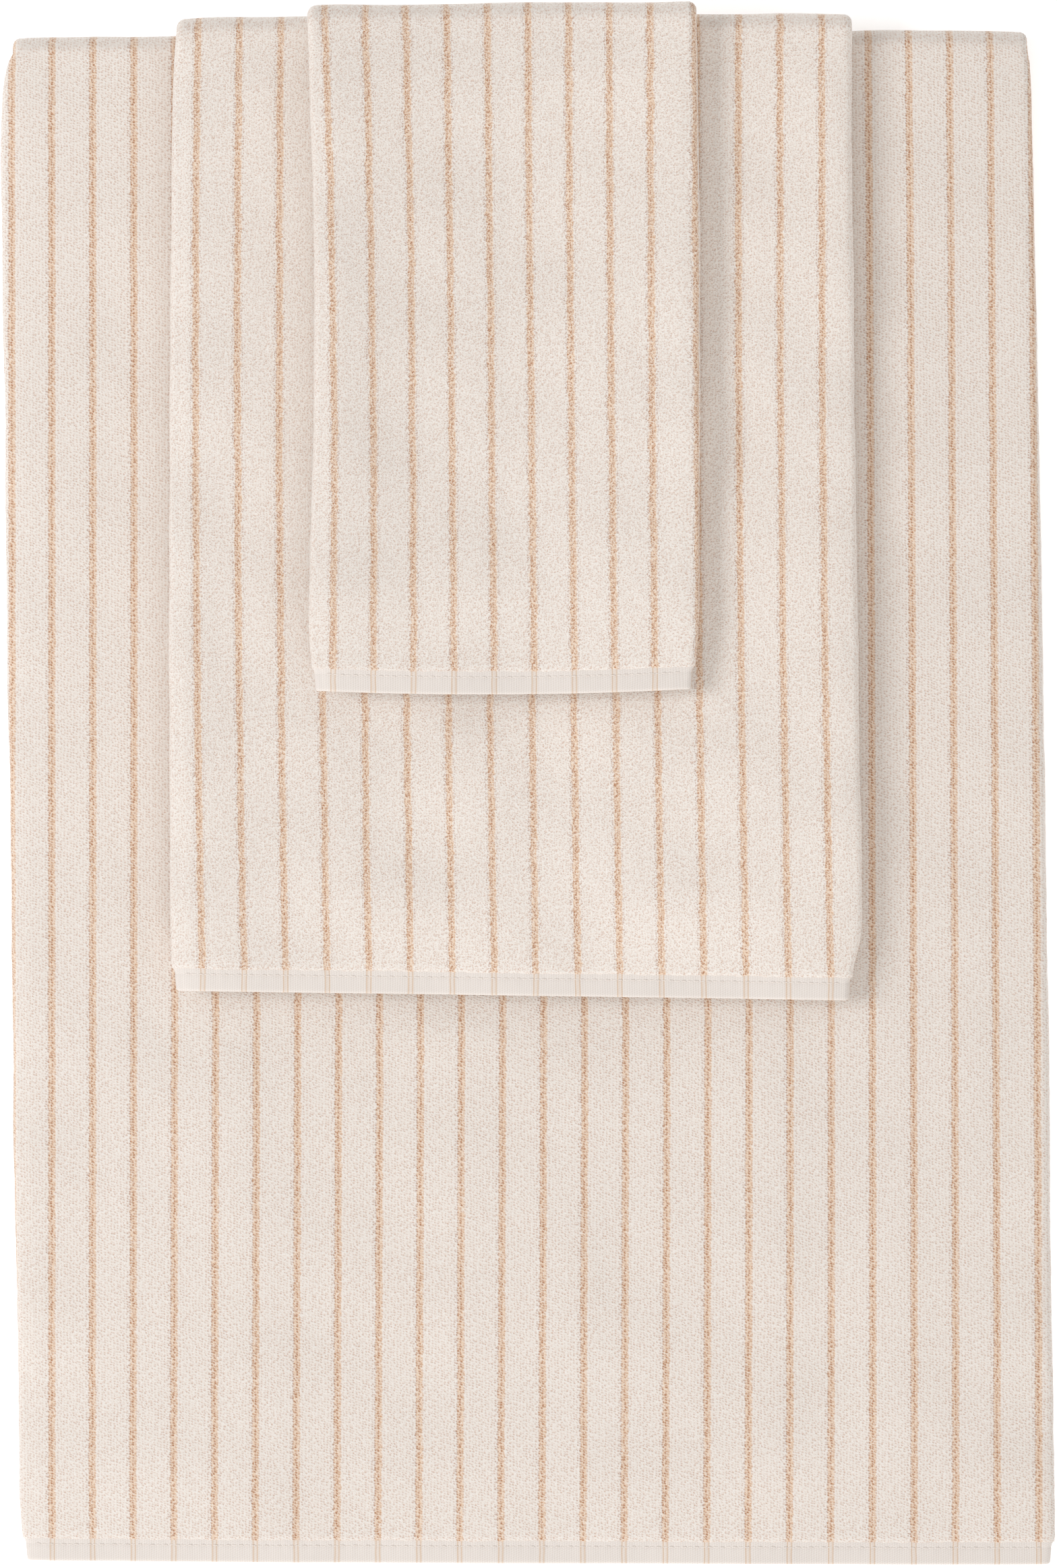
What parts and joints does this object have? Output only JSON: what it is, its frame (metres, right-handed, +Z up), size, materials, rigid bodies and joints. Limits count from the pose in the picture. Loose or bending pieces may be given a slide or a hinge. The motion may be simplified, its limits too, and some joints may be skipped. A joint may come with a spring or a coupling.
{
  "type": "bath towel set",
  "caption": "Striped terry bath, hand and guest towels, each folded in at both sides and over at the top, stacked flat; they lift apart and their folds open.",
  "frame": {"origin": "middle of the set's footprint, on the surface that it lies on", "axes": "+Z up through the stack, +Y along the towels towards their top folds, +X across them to the right as seen from above with the folds at the top"},
  "size_m": [0.472, 0.7067, 0.0512],
  "materials": {
    "bath_terry": "cream looped terry with thin tan stripes",
    "hand_terry": "cream looped terry with thin tan stripes",
    "guest_terry": "cream looped terry with thin tan stripes",
    "hem": "flat ribbed weave",
    "thread": "cotton sewing thread"
  },
  "bodies": {
    "bath_back_leaf": {"bath_back_face": "bath_terry", "bath_back_left_roll": "bath_terry", "bath_back_right_roll": "bath_terry", "bath_back_left_flap": "bath_terry", "bath_back_right_flap": "bath_terry", "bath_back_left_side_hem": "hem", "bath_back_right_side_hem": "hem", "bath_back_end_hem": "hem", "bath_back_stitches": "thread"},
    "bath_front_leaf": {"bath_front_face": "bath_terry", "bath_front_left_roll": "bath_terry", "bath_front_right_roll": "bath_terry", "bath_front_left_flap": "bath_terry", "bath_front_right_flap": "bath_terry", "bath_front_left_side_hem": "hem", "bath_front_right_side_hem": "hem", "bath_front_end_hem": "hem", "bath_front_stitches": "thread"},
    "hand_back_leaf": {"hand_back_face": "hand_terry", "hand_back_left_roll": "hand_terry", "hand_back_right_roll": "hand_terry", "hand_back_left_flap": "hand_terry", "hand_back_right_flap": "hand_terry", "hand_back_left_side_hem": "hem", "hand_back_right_side_hem": "hem", "hand_back_end_hem": "hem", "hand_back_stitches": "thread"},
    "hand_front_leaf": {"hand_front_face": "hand_terry", "hand_front_left_roll": "hand_terry", "hand_front_right_roll": "hand_terry", "hand_front_left_flap": "hand_terry", "hand_front_right_flap": "hand_terry", "hand_front_left_side_hem": "hem", "hand_front_right_side_hem": "hem", "hand_front_end_hem": "hem", "hand_front_stitches": "thread"},
    "guest_back_leaf": {"guest_back_face": "guest_terry", "guest_back_left_roll": "guest_terry", "guest_back_right_roll": "guest_terry", "guest_back_left_flap": "guest_terry", "guest_back_right_flap": "guest_terry", "guest_back_left_side_hem": "hem", "guest_back_right_side_hem": "hem", "guest_back_end_hem": "hem", "guest_back_stitches": "thread"},
    "guest_front_leaf": {"guest_front_face": "guest_terry", "guest_front_left_roll": "guest_terry", "guest_front_right_roll": "guest_terry", "guest_front_left_flap": "guest_terry", "guest_front_right_flap": "guest_terry", "guest_front_left_side_hem": "hem", "guest_front_right_side_hem": "hem", "guest_front_end_hem": "hem", "guest_front_stitches": "thread"}
  },
  "joints": [
    {"name": "bath_top_fold", "type": "hinge", "parent": "bath_back_leaf", "child": "bath_front_leaf", "pos_m": [0, 0.34465, 0.0084], "axis": [-1, 0, 0], "range_deg": [0, 35]},
    {"name": "hand_lift", "type": "slide", "parent": "bath_front_leaf", "child": "hand_back_leaf", "axis": [0, 0, 1], "range_m": [0, 0.12]},
    {"name": "hand_top_fold", "type": "hinge", "parent": "hand_back_leaf", "child": "hand_front_leaf", "pos_m": [-0.0057, 0.35025, 0.0256], "axis": [-1, 0, 0], "range_deg": [0, 35]},
    {"name": "guest_lift", "type": "slide", "parent": "hand_front_leaf", "child": "guest_back_leaf", "axis": [0, 0, 1], "range_m": [0, 0.12]},
    {"name": "guest_top_fold", "type": "hinge", "parent": "guest_back_leaf", "child": "guest_front_leaf", "pos_m": [-0.0103, 0.35335, 0.0428], "axis": [-1, 0, 0], "range_deg": [0, 120]}
  ]
}
